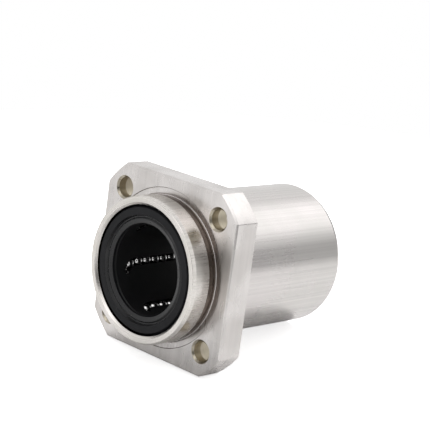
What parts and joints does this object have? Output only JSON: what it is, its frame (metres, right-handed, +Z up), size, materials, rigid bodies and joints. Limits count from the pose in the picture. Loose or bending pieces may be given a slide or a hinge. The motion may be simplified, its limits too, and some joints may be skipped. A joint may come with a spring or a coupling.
{
  "type": "linear ball bushing",
  "caption": "Linear ball bushing for a round shaft, with a pilot, a square flange with turned corners and counterbored bolt holes, end seals and recirculating ball circuits.",
  "frame": {"origin": "where the bore axis meets the flange's mounting face", "axes": "+Y along the bore from the mounting face to the barrel, the pilot stands out towards -Y; +Z up, flange flats level and upright"},
  "size_m": [0.05, 0.059, 0.05],
  "materials": {
    "sleeve_steel": "ground bearing steel, satin",
    "flange_steel": "ground steel, satin",
    "cage_resin": "moulded black resin",
    "spring_steel": "dark spring steel",
    "seal_rubber": "matte black rubber",
    "ball_steel": "polished bearing balls"
  },
  "bodies": {
    "root": {"outer_sleeve": "sleeve_steel", "flange": "flange_steel", "ball_cage": "cage_resin", "front_snap_ring": "spring_steel", "rear_snap_ring": "spring_steel", "front_seal": "seal_rubber", "rear_seal": "seal_rubber"},
    "load_balls_1": {"load_balls_1": "ball_steel"},
    "return_balls_1": {"return_balls_1": "ball_steel"},
    "front_turn_balls_1": {"front_turn_balls_1": "ball_steel"},
    "rear_turn_balls_1": {"rear_turn_balls_1": "ball_steel"},
    "load_balls_2": {"load_balls_2": "ball_steel"},
    "return_balls_2": {"return_balls_2": "ball_steel"},
    "front_turn_balls_2": {"front_turn_balls_2": "ball_steel"},
    "rear_turn_balls_2": {"rear_turn_balls_2": "ball_steel"},
    "load_balls_3": {"load_balls_3": "ball_steel"},
    "return_balls_3": {"return_balls_3": "ball_steel"},
    "front_turn_balls_3": {"front_turn_balls_3": "ball_steel"},
    "rear_turn_balls_3": {"rear_turn_balls_3": "ball_steel"},
    "load_balls_4": {"load_balls_4": "ball_steel"},
    "return_balls_4": {"return_balls_4": "ball_steel"},
    "front_turn_balls_4": {"front_turn_balls_4": "ball_steel"},
    "rear_turn_balls_4": {"rear_turn_balls_4": "ball_steel"},
    "load_balls_5": {"load_balls_5": "ball_steel"},
    "return_balls_5": {"return_balls_5": "ball_steel"},
    "front_turn_balls_5": {"front_turn_balls_5": "ball_steel"},
    "rear_turn_balls_5": {"rear_turn_balls_5": "ball_steel"},
    "load_balls_6": {"load_balls_6": "ball_steel"},
    "return_balls_6": {"return_balls_6": "ball_steel"},
    "front_turn_balls_6": {"front_turn_balls_6": "ball_steel"},
    "rear_turn_balls_6": {"rear_turn_balls_6": "ball_steel"}
  },
  "joints": [
    {"name": "load_row_1_slide", "type": "slide", "parent": "root", "child": "load_balls_1", "axis": [0, 1, 0], "range_m": [-0.0016, 0.0016]},
    {"name": "return_row_1_slide", "type": "slide", "parent": "root", "child": "return_balls_1", "axis": [0, 1, 0], "range_m": [-0.0016, 0.0016]},
    {"name": "front_turn_1_roll", "type": "hinge", "parent": "root", "child": "front_turn_balls_1", "pos_m": [0.01342, 0.00231, 0.00536], "axis": [0.9877, 0, 0.1564], "range_deg": [-30.01, 30.01]},
    {"name": "rear_turn_1_roll", "type": "hinge", "parent": "root", "child": "rear_turn_balls_1", "pos_m": [0.01342, 0.04069, 0.00536], "axis": [0.9877, 0, 0.1564], "range_deg": [-30.01, 30.01]},
    {"name": "load_row_2_slide", "type": "slide", "parent": "root", "child": "load_balls_2", "axis": [0, 1, 0], "range_m": [-0.0016, 0.0016]},
    {"name": "return_row_2_slide", "type": "slide", "parent": "root", "child": "return_balls_2", "axis": [0, 1, 0], "range_m": [-0.0016, 0.0016]},
    {"name": "front_turn_2_roll", "type": "hinge", "parent": "root", "child": "front_turn_balls_2", "pos_m": [0.00207, 0.00231, 0.01431], "axis": [0.3584, 0, 0.9336], "range_deg": [-30.01, 30.01]},
    {"name": "rear_turn_2_roll", "type": "hinge", "parent": "root", "child": "rear_turn_balls_2", "pos_m": [0.00207, 0.04069, 0.01431], "axis": [0.3584, 0, 0.9336], "range_deg": [-30.01, 30.01]},
    {"name": "load_row_3_slide", "type": "slide", "parent": "root", "child": "load_balls_3", "axis": [0, 1, 0], "range_m": [-0.0016, 0.0016]},
    {"name": "return_row_3_slide", "type": "slide", "parent": "root", "child": "return_balls_3", "axis": [0, 1, 0], "range_m": [-0.0016, 0.0016]},
    {"name": "front_turn_3_roll", "type": "hinge", "parent": "root", "child": "front_turn_balls_3", "pos_m": [-0.01136, 0.00231, 0.00894], "axis": [-0.6293, 0, 0.7771], "range_deg": [-30.01, 30.01]},
    {"name": "rear_turn_3_roll", "type": "hinge", "parent": "root", "child": "rear_turn_balls_3", "pos_m": [-0.01136, 0.04069, 0.00894], "axis": [-0.6293, 0, 0.7771], "range_deg": [-30.01, 30.01]},
    {"name": "load_row_4_slide", "type": "slide", "parent": "root", "child": "load_balls_4", "axis": [0, 1, 0], "range_m": [-0.0016, 0.0016]},
    {"name": "return_row_4_slide", "type": "slide", "parent": "root", "child": "return_balls_4", "axis": [0, 1, 0], "range_m": [-0.0016, 0.0016]},
    {"name": "front_turn_4_roll", "type": "hinge", "parent": "root", "child": "front_turn_balls_4", "pos_m": [-0.01342, 0.00231, -0.00536], "axis": [-0.9877, 0, -0.1564], "range_deg": [-30.01, 30.01]},
    {"name": "rear_turn_4_roll", "type": "hinge", "parent": "root", "child": "rear_turn_balls_4", "pos_m": [-0.01342, 0.04069, -0.00536], "axis": [-0.9877, 0, -0.1564], "range_deg": [-30.01, 30.01]},
    {"name": "load_row_5_slide", "type": "slide", "parent": "root", "child": "load_balls_5", "axis": [0, 1, 0], "range_m": [-0.0016, 0.0016]},
    {"name": "return_row_5_slide", "type": "slide", "parent": "root", "child": "return_balls_5", "axis": [0, 1, 0], "range_m": [-0.0016, 0.0016]},
    {"name": "front_turn_5_roll", "type": "hinge", "parent": "root", "child": "front_turn_balls_5", "pos_m": [-0.00207, 0.00231, -0.01431], "axis": [-0.3584, 0, -0.9336], "range_deg": [-30.01, 30.01]},
    {"name": "rear_turn_5_roll", "type": "hinge", "parent": "root", "child": "rear_turn_balls_5", "pos_m": [-0.00207, 0.04069, -0.01431], "axis": [-0.3584, 0, -0.9336], "range_deg": [-30.01, 30.01]},
    {"name": "load_row_6_slide", "type": "slide", "parent": "root", "child": "load_balls_6", "axis": [0, 1, 0], "range_m": [-0.0016, 0.0016]},
    {"name": "return_row_6_slide", "type": "slide", "parent": "root", "child": "return_balls_6", "axis": [0, 1, 0], "range_m": [-0.0016, 0.0016]},
    {"name": "front_turn_6_roll", "type": "hinge", "parent": "root", "child": "front_turn_balls_6", "pos_m": [0.01136, 0.00231, -0.00894], "axis": [0.6293, 0, -0.7771], "range_deg": [-30.01, 30.01]},
    {"name": "rear_turn_6_roll", "type": "hinge", "parent": "root", "child": "rear_turn_balls_6", "pos_m": [0.01136, 0.04069, -0.00894], "axis": [0.6293, 0, -0.7771], "range_deg": [-30.01, 30.01]}
  ],
  "couplings": [
    {"joint": "return_row_1_slide", "follows": "load_row_1_slide", "ratio": -1},
    {"joint": "front_turn_1_roll", "follows": "load_row_1_slide", "rad_per_m": 327.35},
    {"joint": "rear_turn_1_roll", "follows": "load_row_1_slide", "rad_per_m": 327.35},
    {"joint": "return_row_2_slide", "follows": "load_row_2_slide", "ratio": -1},
    {"joint": "front_turn_2_roll", "follows": "load_row_2_slide", "rad_per_m": 327.35},
    {"joint": "rear_turn_2_roll", "follows": "load_row_2_slide", "rad_per_m": 327.35},
    {"joint": "return_row_3_slide", "follows": "load_row_3_slide", "ratio": -1},
    {"joint": "front_turn_3_roll", "follows": "load_row_3_slide", "rad_per_m": 327.35},
    {"joint": "rear_turn_3_roll", "follows": "load_row_3_slide", "rad_per_m": 327.35},
    {"joint": "return_row_4_slide", "follows": "load_row_4_slide", "ratio": -1},
    {"joint": "front_turn_4_roll", "follows": "load_row_4_slide", "rad_per_m": 327.35},
    {"joint": "rear_turn_4_roll", "follows": "load_row_4_slide", "rad_per_m": 327.35},
    {"joint": "return_row_5_slide", "follows": "load_row_5_slide", "ratio": -1},
    {"joint": "front_turn_5_roll", "follows": "load_row_5_slide", "rad_per_m": 327.35},
    {"joint": "rear_turn_5_roll", "follows": "load_row_5_slide", "rad_per_m": 327.35},
    {"joint": "return_row_6_slide", "follows": "load_row_6_slide", "ratio": -1},
    {"joint": "front_turn_6_roll", "follows": "load_row_6_slide", "rad_per_m": 327.35},
    {"joint": "rear_turn_6_roll", "follows": "load_row_6_slide", "rad_per_m": 327.35}
  ]
}
